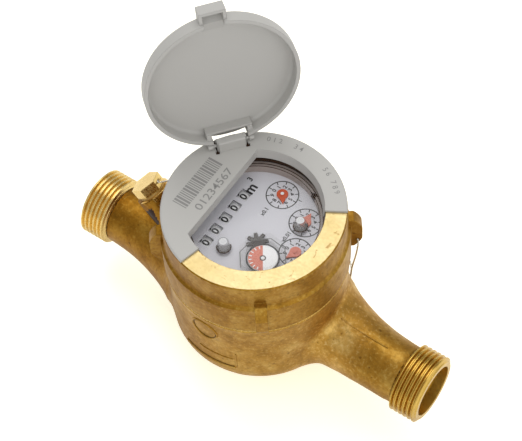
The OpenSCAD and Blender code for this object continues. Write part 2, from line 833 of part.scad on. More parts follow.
module pointer(i) {
    size = 5.2;
    // Directions of the three tips
    tip_dir = [-110, 94, -53];
    blade_t = 0.6;
    boss = [1.2, 0.8];
    color(RED) at_axis() translate([dial_at[i].x, dial_at[i].y, dial_h + gap]) difference() {
        union() {
            rotate(tip_dir[i]) linear_extrude(blade_t) union() {
                circle(r = size * 0.5);
                polygon([[0, -size * 0.5], [size, 0], [0, size * 0.5]]);
            }
            cylinder(r = boss[0], h = boss[1]);
        }
        translate([0, 0, -past]) cylinder(r = arbor_r, h = boss[1] + 2 * past);
    }
}

// Wheel and pinion on one arbor between two dials
module idler(i) {
    at = idler_at[i];
    turn = mesh_turn(driver_at(i), at, 0, pinion_teeth, idler_teeth);
    color(BRASS) {
        arbor(at, arbor_low, plate_z + plate_t);
        gear(at, 2 + 2 * i, idler_teeth, stage_module(i), turn);
        gear(at, 3 + 2 * i, slow_teeth, stage_module(i), 0);
    }
}

module impeller() {
    hub_r = 5;
    vane_t = 1.4;
    low = chamber_floor + 5;
    high = chamber_top - 16;
    color(WHITE) {
        at_axis() difference() {
            union() {
                translate([0, 0, low]) cylinder(r = hub_r, h = high - low);
                for (i = [0:vane_count - 1]) rotate(i * 360 / vane_count)
                    translate([hub_r - past, -vane_t / 2, low + 1])
                        cube([impeller_r - hub_r + past, vane_t, high - low - 4]);
                translate([0, 0, high - run]) cylinder(r = drive_shaft_r, h = level_0 + gear_w + edge - high);
            }
            translate([0, 0, low - past])
                cylinder(r = pivot_r + run, h = pivot_z + pivot_len - low + past + gap);
        }
        gear(hub_at, 0, drive_teeth, star_module(), 0);
    }
}

module pivot_pin() {
    color(STEEL) at_axis() translate([0, 0, pivot_z]) cylinder(r = pivot_r, h = pivot_len);
}

// Cup with inclined jets below the ledge and outlet ports above it
module jet_chamber() {
    jet = [20, 3, 6];
    jet_z = -11;
    outlet = [20, 4, chamber_top - 13];
    outlet_z = 8;
    flange_t = 2.5;
    foot_r = 21;
    foot_h = 3;
    cone_h = 6;
    cone_top = chamber_floor + foot_h + cone_h;
    inner_r = chamber_r - chamber_wall;
    color(DARK) at_axis() difference() {
        union() {
            translate([0, 0, chamber_floor]) cylinder(r = foot_r, h = foot_h + past);
            translate([0, 0, chamber_floor + foot_h]) cylinder(r1 = foot_r, r2 = chamber_r, h = cone_h);
            translate([0, 0, cone_top]) cylinder(r = chamber_r, h = chamber_top - cone_top);
            translate([0, 0, ledge_half]) cylinder(r = chamber_r + chamber_wall, h = flange_t);
        }
        translate([0, 0, cone_top]) cylinder(r = inner_r, h = chamber_top - cone_top + past);
        translate([0, 0, chamber_floor + flange_t])
            cylinder(r1 = foot_r - flange_t, r2 = inner_r, h = cone_h + edge + 2 * run);
        translate([0, 0, pivot_z]) cylinder(r = pivot_r, h = pivot_len);
        for (i = [0:jet_count - 1]) rotate(i * 360 / jet_count) {
            translate([0, inner_r - jet.y, jet_z]) cube(jet);
            mirror([1, 0, 0]) translate([0, inner_r - outlet.y, outlet_z]) cube(outlet);
        }
    }
}

module chamber_cover() {
    spigot_h = 2;
    hub_r = 4;
    hub_h = 10;
    color(GREY) at_axis() translate([0, 0, chamber_top]) difference() {
        union() {
            cylinder(r = chamber_r, h = cover_t);
            translate([0, 0, -spigot_h]) cylinder(r = chamber_r - chamber_wall - gap, h = spigot_h + past);
            translate([0, 0, -hub_h]) cylinder(r = hub_r, h = hub_h);
        }
        translate([0, 0, -hub_h - past]) cylinder(r = drive_shaft_r + run, h = hub_h + cover_t + 2 * past);
    }
}

// Basket that keeps grit out, seated on the inlet's counterbore
module inlet_strainer() {
    flange_t = 1.5;
    basket_r = bore_r - 0.5;
    basket_t = 1;
    basket_len = 24;
    slot = [2.2, 3];
    slot_step = 4.6;
    hole_r = 1.5;
    hole_ring = basket_r - basket_t - hole_r - 2;
    inlet_x = -body_len / 2 + end_bore_depth - flange_t;
    color(GREY) at_axis() translate([inlet_x, 0, 0]) along_x() difference() {
        union() {
            cylinder(r = end_bore_r - 4 * run, h = flange_t);
            cylinder(r = basket_r, h = basket_len);
        }
        translate([0, 0, -past]) cylinder(r = basket_r - basket_t, h = basket_len - basket_t + past);
        for (row = [0:3], i = [0:5]) rotate(i * 30) translate([0, 0, slot_step * (row + 1)])
            cube([3 * basket_r, slot.x, slot.y], center = true);
        for (i = [0:5]) rotate(i * 60) translate([hole_ring, 0, basket_len - 2 * basket_t])
            cylinder(r = hole_r, h = 4 * basket_t);
    }
}

// Hexagon-headed plug over the regulating screw, drilled for the seal wire
module regulating_plug() {
    color(BRASS) difference() {
        plug_frame() {
            rotate(plug_turn) cylinder(d = plug_af / cos(30), h = plug_head, $fn = 6);
            translate([0, 0, -plug_len]) cylinder(r = plug_r, h = plug_len + run);
        }
        plug_frame() rotate(plug_turn + 60) translate([plug_af / 2 - 1.5 * wire_hole_r, 0, plug_head / 2])
            rotate([90, 0, 0]) cylinder(r = wire_hole_r, h = 2 * plug_af, center = true);
    }
}

module plug_seal() {
    color(DARK) plug_frame() translate([0, 0, -seal_t]) difference() {
        cylinder(r = seal_r, h = seal_t);
        translate([0, 0, -past]) cylinder(r = plug_r, h = seal_t + 2 * past);
    }
}

module regulating_screw() {
    slot_w = 0.8;
    slot_h = 1.2;
    color(BRASS) plug_frame() difference() {
        union() {
            translate([0, 0, -screw_top - screw_len]) cylinder(r = screw_r, h = screw_len);
            translate([0, 0, -screw_top - screw_len - screw_tip])
                cylinder(r1 = screw_r / 2, r2 = screw_r, h = screw_tip);
        }
        translate([-screw_r - past, -slot_w / 2, -screw_top - slot_h])
            cube([2 * screw_r + 2 * past, slot_w, 2 * slot_h]);
    }
}

// Thin wire from the plug, round the back of the body, to the head ring's drilled rib
module seal_wire() {
    n = len(wire_route);
    ref = [0, -1, 0];
    path = [for (i = [0:n - 2], j = [0:wire_steps - 1])
        blend(wire_route[max(i - 1, 0)], wire_route[i], wire_route[i + 1], wire_route[min(i + 2, n - 1)],
            j / wire_steps), wire_route[n - 1]];
    last = len(path) - 1;
    rings = [for (i = [0:last])
        let (way = path[min(i + 1, last)] - path[max(i - 1, 0)],
            side = cross(way, ref) / norm(cross(way, ref)),
            up = cross(side, way) / norm(way))
        for (k = [0:wire_sides - 1])
            path[i] + wire_r * (side * cos(k * 360 / wire_sides) + up * sin(k * 360 / wire_sides))];
    walls = [for (i = [0:last - 1], k = [0:wire_sides - 1]) let (q = (k + 1) % wire_sides)
        [i * wire_sides + k, i * wire_sides + q, (i + 1) * wire_sides + q, (i + 1) * wire_sides + k]];
    start = [for (k = [wire_sides - 1:-1:0]) k];
    end = [for (k = [0:wire_sides - 1]) last * wire_sides + k];
    color(STEEL) polyhedron(rings, concat(walls, [start, end]));
}

body();
head_ring();
slip_ring();
glass();
glass_gasket();
collar();
lid();
hinge_pin();
register_housing();
dial_plate();
dial_rim();
bearing_plate();
roller_bracket();
roller_shaft();
pinion_shaft();
roller(0);  // roller_1
roller(1);  // roller_2
roller(2);  // roller_3
roller(3);  // roller_4
roller(4);  // roller_5
carry_pinion(0);  // carry_pinion_1
carry_pinion(1);  // carry_pinion_2
carry_pinion(2);  // carry_pinion_3
carry_pinion(3);  // carry_pinion_4
drive_pinion();
star_wheel();
star_arbor();
sweep_disc();
sweep_arbor();
color(BRASS) dial_arbor(0);  // arbor_thousandths
color(BRASS) dial_arbor(1);  // arbor_hundredths
color(BRASS) union() { dial_arbor(2); worm(); }  // arbor_tenths
pointer(0);  // pointer_thousandths
pointer(1);  // pointer_hundredths
pointer(2);  // pointer_tenths
idler(0);  // idler_1
idler(1);  // idler_2
idler(2);  // idler_3
impeller();
pivot_pin();
jet_chamber();
chamber_cover();
inlet_strainer();
regulating_plug();
plug_seal();
regulating_screw();
seal_wire();
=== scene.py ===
"""Water meter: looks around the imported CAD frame. Lengths are in millimetres, apart from those in metres
that the materials' nodes, the stage, the lamps and the camera take."""
import json
import math
from functools import cached_property

import bpy
import numpy as np
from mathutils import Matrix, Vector, noise


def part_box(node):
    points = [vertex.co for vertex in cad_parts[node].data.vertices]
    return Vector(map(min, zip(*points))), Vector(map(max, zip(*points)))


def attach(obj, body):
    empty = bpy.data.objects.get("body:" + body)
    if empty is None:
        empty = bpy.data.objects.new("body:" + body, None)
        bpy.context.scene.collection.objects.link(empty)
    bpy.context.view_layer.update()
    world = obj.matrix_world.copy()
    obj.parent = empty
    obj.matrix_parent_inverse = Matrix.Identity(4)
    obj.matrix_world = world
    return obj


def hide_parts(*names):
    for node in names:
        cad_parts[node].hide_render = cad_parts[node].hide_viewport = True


MM = 0.001

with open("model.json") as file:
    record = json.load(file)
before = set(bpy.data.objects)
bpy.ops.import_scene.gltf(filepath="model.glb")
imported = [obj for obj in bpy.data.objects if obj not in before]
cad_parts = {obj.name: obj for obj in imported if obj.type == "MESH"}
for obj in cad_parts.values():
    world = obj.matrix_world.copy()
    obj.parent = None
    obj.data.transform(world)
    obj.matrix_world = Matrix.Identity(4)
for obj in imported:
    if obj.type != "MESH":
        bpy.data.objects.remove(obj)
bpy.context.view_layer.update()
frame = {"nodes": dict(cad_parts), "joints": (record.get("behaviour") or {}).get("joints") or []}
nodes = frame["nodes"]


def top_of(node):
    """Height of a CAD node's highest point."""
    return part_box(node)[1].z / MM


# Centre of the joint that carries each moving body
CENTRE = {j["child"]: tuple(x / MM for x in j["pos_m"]) for j in frame["joints"]}

# Heights above the floor
AXIS = CENTRE["impeller"][2]
DIAL = top_of("dial_plate")
RIM_TOP = top_of("dial_rim")
RING_TOP = top_of("head_ring")
COLLAR = RING_TOP + 1.2
SWEEP_TOP = top_of("sweep_disc")

# Register
ROLLERS = [CENTRE[f"roller_{i}"] for i in range(1, 6)]
ROLLER_R = 6.2
WINDOW_W = 4.6
SWEEP = CENTRE["sweep"][:2]
DIALS = {name: CENTRE[f"dial_{name}"][:2] for name in ("thousandths", "hundredths", "tenths")}
RIM_NOTCH_R = 28.7
RIM_NOTCH_DIR = 60.0

# Clear cover: only its posts and its hood reach below COVER_UNDER
COVER_UNDER = DIAL + 5.9
POSTS = [(-4.4, -17.7), (17.7, 9.8)]
POST_REACH = 3.2
POST_FOOT = DIAL + 1.7
POST_TOP = DIAL + 6.3
HOOD_LOW = DIAL + 2.0
HOOD_R = 11.0
HOOD_REACH = 12.0
HOOD_HOLE_R = 7.2
HOOD_TURN = 15.0

# Letters on the dial and the collar's label read towards +Y, and prints lie this far off their surface
READ = 90.0
LIFT = 0.03
# Height of a capital letter as a share of the font's size
CAPITAL = 0.7


# Meshes


def add(name, verts, faces, body, material, smooth=False):
    """A mesh piece from points in millimetres, riding a body."""
    mesh = bpy.data.meshes.new(name)
    mesh.from_pydata((np.array(verts, float) * MM).tolist(), [], [tuple(map(int, f)) for f in faces])
    mesh.validate()
    mesh.update()
    obj = bpy.data.objects.new(name, mesh)
    bpy.context.scene.collection.objects.link(obj)
    mesh.materials.append(material)
    if smooth:
        mesh.polygons.foreach_set("use_smooth", [True] * len(mesh.polygons))
    if body:
        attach(obj, body)
    return obj


def polar(at, r, degrees):
    a = math.radians(degrees)
    return at[0] + r * math.cos(a), at[1] + r * math.sin(a)


def frames_along(path, off):
    """Two directions across a path at each of its points, carried along it without twist.
    Off is any direction away from the path's first one."""
    way = np.gradient(path, axis=0)
    way /= np.linalg.norm(way, axis=1)[:, None]
    side = np.cross(way[0], off)
    frames = []
    for w in way:
        side = side - w * (side @ w)
        side /= np.linalg.norm(side)
        frames.append((side, np.cross(w, side)))
    return frames


def tube(path, frames, radii, sides, first=0):
    """Points and faces of a closed tube along a path. First is the number of its first point."""
    turns = np.linspace(0, 2 * math.pi, sides + 1)[:-1]
    verts = [p + r * (u * math.cos(k) + v * math.sin(k))
             for p, (u, v), r in zip(path, frames, radii) for k in turns]
    faces = []
    for i in range(len(path) - 1):
        a = first + i * sides
        b = a + sides
        faces += [(a + k, a + (k + 1) % sides, b + (k + 1) % sides, b + k) for k in range(sides)]
    end = first + len(verts)
    faces += [range(first + sides - 1, first - 1, -1), range(end - sides, end)]
    return verts, faces


class Print:
    """Flat ink shapes gathered into one mesh, as points in a plane's own millimetres."""

    def __init__(self):
        self.verts = []
        self.faces = []

    def poly(self, points):
        n = len(self.verts)
        self.verts += [tuple(p) for p in points]
        self.faces.append(range(n, n + len(points)))

    def bar(self, a, b, w):
        """Straight stroke of width w."""
        a, b = np.array(a, float), np.array(b, float)
        u = (b - a) / np.linalg.norm(b - a)
        s = np.array([-u[1], u[0]]) * w / 2
        self.poly([a - s, b - s, b + s, a + s])

    def ring(self, at, r, w, n=72, start=0.0, end=360.0):
        """Round stroke of width w about its middle radius."""
        t = np.linspace(start, end, n + 1)
        low, high = r - w / 2, r + w / 2
        for a, b in zip(t[:-1], t[1:]):
            self.poly([polar(at, q, c) for q, c in ((low, a), (high, a), (high, b), (low, b))])

    def text(self, words, at, height, turn=0.0, bold=0.0, stretch=1.0):
        """Words centred on a place, turned by degrees, with capitals of that height."""
        curve = bpy.data.curves.new("words", "FONT")
        curve.body = words
        curve.size = height / CAPITAL
        curve.align_x, curve.align_y = "CENTER", "CENTER"
        curve.offset = bold
        curve.resolution_u = 3
        obj = bpy.data.objects.new("words", curve)
        bpy.context.scene.collection.objects.link(obj)
        mesh = bpy.data.meshes.new_from_object(obj.evaluated_get(bpy.context.evaluated_depsgraph_get()))
        c, s = math.cos(math.radians(turn)), math.sin(math.radians(turn))
        n = len(self.verts)
        for v in mesh.vertices:
            x, y = v.co.x * stretch, v.co.y
            self.verts.append((at[0] + x * c - y * s, at[1] + x * s + y * c))
        self.faces += [[n + i for i in p.vertices] for p in mesh.polygons]
        bpy.data.objects.remove(obj)
        bpy.data.meshes.remove(mesh)
        bpy.data.curves.remove(curve)

    def lay(self, name, place, body, material):
        """Puts the shapes into space with a function from plane points to millimetres."""
        return add(name, [place(*v) for v in self.verts], self.faces, body, material)


def flat(z):
    """Level plane for a print, just above the height z."""
    return lambda x, y: (x, y, z + LIFT)


def under(z):
    """Level plane for a print, just below the height z."""
    return lambda x, y: (x, y, z - LIFT)


# Materials


class Tree:
    """Short names for building the nodes of a material or of the world."""

    def __init__(self, owner):
        self.tree = owner.node_tree

    @cached_property
    def where(self):
        """Places in the object's own frame, in metres."""
        return self.new("ShaderNodeTexCoord").outputs["Object"]

    @cached_property
    def shader(self):
        return self.tree.nodes["Principled BSDF"]

    def put(self, socket, value):
        if hasattr(value, "is_output"):
            self.tree.links.new(value, socket)
        else:
            socket.default_value = value

    def new(self, kind, **inputs):
        node = self.tree.nodes.new(kind)
        for name, value in inputs.items():
            self.put(node.inputs[name.replace("_", " ")], value)
        return node

    def fill(self, node, *values):
        """Gives a node's first inputs their values, in order, and returns its first output."""
        for socket, value in zip(node.inputs, values):
            self.put(socket, value)
        return node.outputs[0]

    def math(self, operation, *values):
        node = self.new("ShaderNodeMath")
        node.operation = operation
        return self.fill(node, *values)

    def noise(self, scale, detail, rough, distort=0.0):
        node = self.new("ShaderNodeTexNoise", Vector=self.where, Scale=scale, Detail=detail,
                        Roughness=rough, Distortion=distort)
        return node.outputs["Fac"]

    def ramp(self, share, stops):
        """Colours or grey levels at shares from 0 to 1."""
        node = self.new("ShaderNodeValToRGB", Fac=share)
        elements = node.color_ramp.elements
        while len(elements) < len(stops):
            elements.new(0.5)
        for element, (at, c) in zip(elements, stops):
            element.position = at
            element.color = (*c, 1.0) if hasattr(c, "__len__") else (c, c, c, 1.0)
        return node.outputs["Color"]

    def along(self, stops):
        """Colours along X, from 90 mm on the inlet's side to 90 mm on the outlet's. The brass materials use
        them for painted light and shade.
        """
        x = self.new("ShaderNodeSeparateXYZ", Vector=self.where).outputs["X"]
        share = self.new("ShaderNodeMapRange", Value=x, From_Min=-90 * MM, From_Max=90 * MM)
        return self.ramp(share.outputs[0], stops)

    def mix(self, share, a, b, kind="MIX"):
        """Two colours mixed. Inputs 0, 6 and 7 and output 2 are those of the node's colour form."""
        node = self.new("ShaderNodeMix")
        node.data_type = "RGBA"
        node.blend_type = kind
        self.put(node.inputs[0], share)
        self.put(node.inputs[6], a if hasattr(a, "is_output") else (*a, 1.0))
        self.put(node.inputs[7], b if hasattr(b, "is_output") else (*b, 1.0))
        return node.outputs[2]

    def rounded(self, radius):
        """Normals that show edges as rounded by a radius in metres."""
        node = self.new("ShaderNodeBevel", Radius=radius)
        node.samples = 4
        return node.outputs["Normal"]

    def bump(self, height, distance, strength, normal):
        node = self.new("ShaderNodeBump", Height=height, Distance=distance, Strength=strength, Normal=normal)
        return node.outputs["Normal"]

    def blend(self, share, first, second):
        """Two surfaces mixed."""
        return self.fill(self.new("ShaderNodeMixShader"), share, first, second)

    def set(self, **inputs):
        for name, value in inputs.items():
            self.put(self.shader.inputs[name.replace("_", " ")], value)

    def show(self, surface):
        self.put(self.tree.nodes["Material Output"].inputs["Surface"], surface)


def material(name, color, rough, metal=0.0, **more):
    m = bpy.data.materials.new(name)
    m.use_nodes = True
    Tree(m).set(Base_Color=(*color, 1.0), Roughness=rough, Metallic=metal, **more)
    return m


def cast_brass(name, painted_light_tone):
    """Sand-cast brass: soft patches of oxide, fine grain and a few small pits. The tone multiplies its
    colour along X with painted light and shade.
    """
    m = material(name, (0.40, 0.235, 0.06), 0.5, 1.0)
    t = Tree(m)
    broad = t.noise(28, 3.0, 0.5)
    patch = t.noise(110, 4.0, 0.6, 0.4)
    fine = t.noise(620, 4.0, 0.65)
    pits = t.noise(380, 1.0, 0.4)
    browns = [(0.32, (0.40, 0.195, 0.026)), (0.52, (0.48, 0.255, 0.042)), (0.70, (0.57, 0.33, 0.070))]
    c = t.ramp(broad, browns)
    c = t.mix(t.ramp(patch, [(0.48, 0.0), (0.72, 0.45)]), c, (0.68, 0.45, 0.13))
    c = t.mix(t.ramp(patch, [(0.28, 0.50), (0.46, 0.0)]), c, (0.26, 0.14, 0.028))
    c = t.mix(t.ramp(fine, [(0.34, 0.40), (0.50, 0.0)]), c, (0.20, 0.11, 0.022))
    c = t.mix(t.ramp(fine, [(0.55, 0.0), (0.68, 0.45)]), c, (0.74, 0.52, 0.18))
    c = t.mix(t.ramp(pits, [(0.22, 0.6), (0.27, 0.0)]), c, (0.14, 0.06, 0.010))
    uneven = t.bump(patch, 0.0008, 0.30, t.rounded(0.0007))
    # Painted light and shade: the colour is multiplied by a tone that changes along X
    t.set(Base_Color=t.mix(1.0, c, t.along(painted_light_tone), "MULTIPLY"),
          Roughness=t.ramp(patch, [(0.3, 0.56), (0.7, 0.42)]),
          Normal=t.bump(fine, 0.0003, 0.35, uneven))
    return m


def turned_brass(name, color, pale, rough, specks, painted_light_tone=((0.0, 1.0), (1.0, 1.0))):
    """Machined brass between two colours. More specks are more dark spots, and the tone multiplies its
    colour along X with painted light and shade.
    """
    m = material(name, color, rough, 1.0)
    t = Tree(m)
    broad = t.noise(60, 3.0, 0.6)
    fine = t.noise(900, 4.0, 0.6)
    stain = t.noise(260, 3.0, 0.6, 0.8)
    c = t.mix(t.ramp(broad, [(0.35, 0.0), (0.7, 1.0)]), color, pale)
    c = t.mix(t.ramp(stain, [(0.27 + specks, 0.7), (0.32 + specks, 0.0)]), c, (0.30, 0.17, 0.05))
    # Painted light and shade: the colour is multiplied by a tone that changes along X
    t.set(Base_Color=t.mix(1.0, c, t.along(painted_light_tone), "MULTIPLY"),
          Roughness=t.ramp(fine, [(0.3, rough - 0.06), (0.7, rough + 0.08)]),
          Normal=t.bump(fine, 0.0001, 0.25, t.rounded(0.0004)))
    return m


def plastic(name, color, rough, radius):
    """Moulded plastic with a very fine grain and edges rounded by a radius in metres."""
    m = material(name, color, rough)
    t = Tree(m)
    t.set(Normal=t.bump(t.noise(2500, 2.0, 0.5), 0.00003, 0.25, t.rounded(radius)))
    return m


def clear(name, tint, ior, milk=0.0, color=(0.6, 0.6, 0.6)):
    """Clear plastic: light passes straight through, and the front of the surface reflects a little.
    Milk is the share of the light that the plastic scatters instead, in its colour."""
    gloss_rough = 0.06
    m = material(name, tint, gloss_rough)
    t = Tree(m)
    through = t.new("ShaderNodeBsdfTransparent", Color=(*tint, 1.0)).outputs[0]
    haze = t.new("ShaderNodeBsdfDiffuse", Color=(*color, 1.0)).outputs[0]
    gloss = t.new("ShaderNodeBsdfGlossy", Roughness=gloss_rough).outputs[0]
    fresnel = t.new("ShaderNodeFresnel", IOR=ior).outputs[0]
    back = t.new("ShaderNodeNewGeometry").outputs["Backfacing"]
    share = t.math("MULTIPLY", fresnel, t.math("SUBTRACT", 1.0, back))
    t.show(t.blend(share, t.blend(milk, through, haze), gloss))
    return m


# Painted light and shade along X for the cast body: darker and warmer on the inlet's side, a pale painted
# highlight on the outlet's flare, and darker again at the outlet's end
CAST_PAINTED_LIGHT = [
    (0.22, (0.62, 0.54, 0.32)),
    (0.36, (0.68, 0.63, 0.40)),
    (0.50, (0.84, 0.83, 0.74)),
    (0.66, (0.90, 0.93, 0.92)),
    (0.78, (1.16, 1.26, 1.65)),
    (0.86, (0.76, 0.75, 0.64)),
]
# Painted shade: the head ring's cast brass is darker than the body's, more so on the inlet's side
RING_PAINTED_SHADE = [(0.3, (0.58, 0.52, 0.30)), (0.7, (0.75, 0.73, 0.58))]
# Painted light on the inlet's side and painted shade on the outlet's side of the turned brass, threads
# included
TURNED_PAINTED_LIGHT = [(0.15, (1.12, 1.16, 1.4)), (0.85, (0.84, 0.77, 0.52))]

CAST = cast_brass("cast_brass", CAST_PAINTED_LIGHT)
SHADED_RING = cast_brass("ring_brass", RING_PAINTED_SHADE)
TURNED = turned_brass("turned_brass", (0.62, 0.42, 0.12), (0.78, 0.57, 0.20), 0.27, 0.02, TURNED_PAINTED_LIGHT)
TOP = turned_brass("top_brass", (0.57, 0.44, 0.20), (0.66, 0.53, 0.28), 0.45, 0.06)
BORE = turned_brass("bore_brass", (0.58, 0.37, 0.06), (0.88, 0.65, 0.18), 0.34, 0.02)
# Painted shade for the dark lines beside the cast relief
RELIEF_SHADE = material("relief_shade", (0.17, 0.09, 0.02), 0.5, 1.0)
# Painted shade for the deep shadow beside the inlet's boss
GAP_SHADE_BROWN = material("gap_shade_brown", (0.03, 0.009, 0.003), 0.3, Specular_IOR_Level=0.12)
GREY = plastic("grey_plastic", (0.47, 0.46, 0.435), 0.5, 0.0005)
DARK = plastic("dark_plastic", (0.035, 0.03, 0.028), 0.4, 0.0003)
SHADE = material("shade_brown", (0.045, 0.018, 0.006), 0.4, Specular_IOR_Level=0.25)
FACE = plastic("dial_face", (0.71, 0.705, 0.75), 0.45, 0.0002)
RIM = plastic("dial_rim", (0.40, 0.335, 0.30), 0.45, 0.0003)
WHITE = plastic("white_plastic", (0.88, 0.88, 0.88), 0.4, 0.0002)
RED = plastic("red_plastic", (0.62, 0.085, 0.018), 0.4, 0.0002)
SALMON = plastic("salmon", (0.74, 0.24, 0.17), 0.45, 0.0002)
STAR = plastic("star_plastic", (0.115, 0.105, 0.10), 0.45, 0.0002)
DISC = plastic("disc_white", (0.97, 0.97, 0.97), 0.4, 0.0002)
# Painted light: light grey standing in for the lit tops of the clear posts
POST_TOP_LIGHT = material("post_top_light", (0.66, 0.66, 0.67), 0.4)
INK_AND_SHADE = material("ink", (0.022, 0.02, 0.022), 0.55)
FAINT = material("faint_ink", (0.065, 0.062, 0.06), 0.55)
HAIR = material("hair_line", (0.20, 0.195, 0.19), 0.55)
BARS = material("bar_ink", (0.25, 0.245, 0.235), 0.5)
FIBRE = material("fibre_washer", (0.50, 0.33, 0.11), 0.6)
STEEL = material("steel", (0.55, 0.55, 0.56), 0.3, 1.0)
WIRE = material("wire", (0.75, 0.71, 0.63), 0.35, 1.0)
GEAR = material("gear_brass", (0.74, 0.50, 0.17), 0.28, 1.0)
CLEAR = clear("clear_plastic", (0.985, 0.985, 0.985), 1.25)
MILKY = clear("milky_plastic", (0.95, 0.95, 0.95), 1.02, 0.35, (0.52, 0.51, 0.50))
HOOD = clear("hood_plastic", (0.975, 0.975, 0.97), 1.01, 0.06, (0.50, 0.50, 0.49))

LOOKS = {
    "body": CAST, "head_ring": SHADED_RING, "slip_ring": DARK, "glass": CLEAR, "glass_gasket": SHADE,
    "collar": GREY, "lid": GREY, "hinge_pin": GREY, "register_housing": DARK, "dial_plate": FACE,
    "dial_rim": RIM, "bearing_plate": GEAR, "roller_bracket": STEEL, "roller_shaft": STEEL,
    "pinion_shaft": STEEL, "drive_pinion": RED, "star_wheel": STAR, "sweep_disc": DISC,
    "impeller": WHITE, "pivot_pin": STEEL, "jet_chamber": DARK, "chamber_cover": GREY,
    "inlet_strainer": WHITE, "regulating_plug": TURNED, "plug_seal": FIBRE, "regulating_screw": GEAR,
    "seal_wire": WIRE, "pointer_tenths": RED, "pointer_hundredths": SALMON,
    "pointer_thousandths": SALMON,
}
# Looks of the other nodes, by how their names start; the rest, wheels and arbors, are brass
KINDS = {"roller_": WHITE, "carry": RED}


def dress():
    """Gives each CAD node its material."""
    for name, node in nodes.items():
        kind = next((look for start, look in KINDS.items() if name.startswith(start)), GEAR)
        node.data.materials.clear()
        node.data.materials.append(LOOKS.get(name, kind))


def paint(node, look, where):
    """Gives another material to the faces of a CAD node that a test on centre and normal picks."""
    mesh = nodes[node].data
    mesh.materials.append(look)
    for p in mesh.polygons:
        if where(p.center / MM, p.normal):
            p.material_index = len(mesh.materials) - 1


def paint_details():
    notch = polar((0, 0), RIM_NOTCH_R, RIM_NOTCH_DIR)

    def is_post(c):
        return c.z < COVER_UNDER and min(math.dist(c.xy, p) for p in POSTS) < POST_REACH

    paint("head_ring", TOP, lambda c, n: n.z > 0.9 and c.z > RING_TOP - 0.6)
    paint("sweep_arbor", WHITE, lambda c, n: c.z > SWEEP_TOP - 0.3)
    paint("star_arbor", STAR, lambda c, n: c.z > DIAL)
    paint("glass", MILKY, lambda c, n: is_post(c))
    paint("glass", HOOD, lambda c, n: c.z < COVER_UNDER and math.dist(c.xy, SWEEP) < HOOD_REACH)
    paint("dial_rim", SHADE, lambda c, n: math.dist(c.xy, notch) < 2.0)


# Casting skin, about the pipe axis


def arc(x, y, r, start, end, n):
    return [polar((x, y), r, a) for a in np.linspace(start, end, n)]


def spin(degrees, i, j):
    """Matrix that turns axis j towards axis i."""
    m = np.eye(3)
    m[i, i] = m[j, j] = math.cos(math.radians(degrees))
    m[i, j] = math.sin(math.radians(degrees))
    m[j, i] = -m[i, j]
    return m


# Half outlines of the bodies of revolution are radius and height, or radius and length. They are closed
# by a line at the radius DEEP, far enough beyond the axis to leave the distance to the outside alone.
DEEP = -60.0

FOOT_R = 20.0
FOOT_ROUND = 9.0
FOOT_START = -75.0
CONE_LEAN = 27.8
HIP_Z = -2.0
HIP_ROUND = 17.6
BOWL_R = 41.3
WIDEN_Z = 20.0
WIDE_Z = 33.0
WIDE_R = 42.0
SHOULDER_Z = 36.6
SHOULDER_R = 42.5
SEAM_Z = 37.1
BOWL = [
    (DEEP, -AXIS), (FOOT_R, -AXIS),
    *arc(FOOT_R, FOOT_ROUND - AXIS, FOOT_ROUND, FOOT_START, -CONE_LEAN, 6),
    *arc(BOWL_R - HIP_ROUND, HIP_Z, HIP_ROUND, -CONE_LEAN, 0, 8),
    (BOWL_R, WIDEN_Z), (WIDE_R, WIDE_Z), (SHOULDER_R, SHOULDER_Z), (WIDE_R, SEAM_Z), (DEEP, SEAM_Z),
]

FLARE_START = 20.0
FLARE_END = 78.0
FLARE_RUN = 44.0
FLARE_R = 21.5
FLARE_TIP_R = 13.95
FLARE_POWER = 2.6
FLARE_LEAN = spin(5.5, 0, 1)
FLARE_TIP = np.array([FLARE_END, 0.0, 0.0])
FLARE = [
    (DEEP, FLARE_START), (FLARE_R, FLARE_START),
    *((FLARE_TIP_R + (FLARE_R - FLARE_TIP_R) * t ** FLARE_POWER, FLARE_END - FLARE_RUN * t)
      for t in np.linspace(1, 0, 12)),
    (DEEP, FLARE_END),
]

PIPE_R = 14.2
PIPE_END = 80.5
PIPE = [(DEEP, -PIPE_END), (PIPE_R, -PIPE_END), (PIPE_R, PIPE_END), (DEEP, PIPE_END)]
BORE_START = 60.0
END_BORE_R = 12.7

# The boss carries the plug, whose seat is at BOSS_AT
BOSS_AT = np.array([-59.7, 0.0, 37.8])
BOSS_LEAN = spin(42.0, 2, 0)
BOSS_R = 8.6
BOSS_LOW = -26.0
BOSS_FACE = -1.0
BOSS = [(DEEP, BOSS_LOW), (BOSS_R, BOSS_LOW), (BOSS_R, BOSS_FACE), (DEEP, BOSS_FACE)]

# Fillets where the two flares, the pipe and the boss join what comes before them
FILLETS = (5.0, 5.0, 1.5, 5.0)
VOXEL = 0.9
SHARP_ANGLE = 40.0
TO_X = np.array([[0.0, 0.0, -1.0], [0.0, 1.0, 0.0], [1.0, 0.0, 0.0]])
HALF_TURN = np.array([-1.0, -1.0, 1.0])


def outline_distance(points, outline):
    """Signed distance in a plane from many points to a closed outline, negative inside."""
    a = np.array(outline, float)
    best = np.full(len(points), np.inf)
    inside = np.zeros(len(points), bool)
    for p, q in zip(a, np.roll(a, -1, 0)):
        e, w = q - p, points - p
        t = np.clip((w @ e) / (e @ e), 0, 1)
        best = np.minimum(best, np.hypot(*(w - t[:, None] * e).T))
        side = e[0] * w[:, 1] - e[1] * w[:, 0]
        rise = (p[1] <= points[:, 1]) & (q[1] > points[:, 1]) & (side > 0)
        fall = (q[1] <= points[:, 1]) & (p[1] > points[:, 1]) & (side < 0)
        inside ^= rise | fall
    return np.where(inside, -best, best)


def about_z(p):
    """Radius and height of points about the Z axis."""
    return np.c_[np.hypot(p[:, 0], p[:, 1]), p[:, 2]]


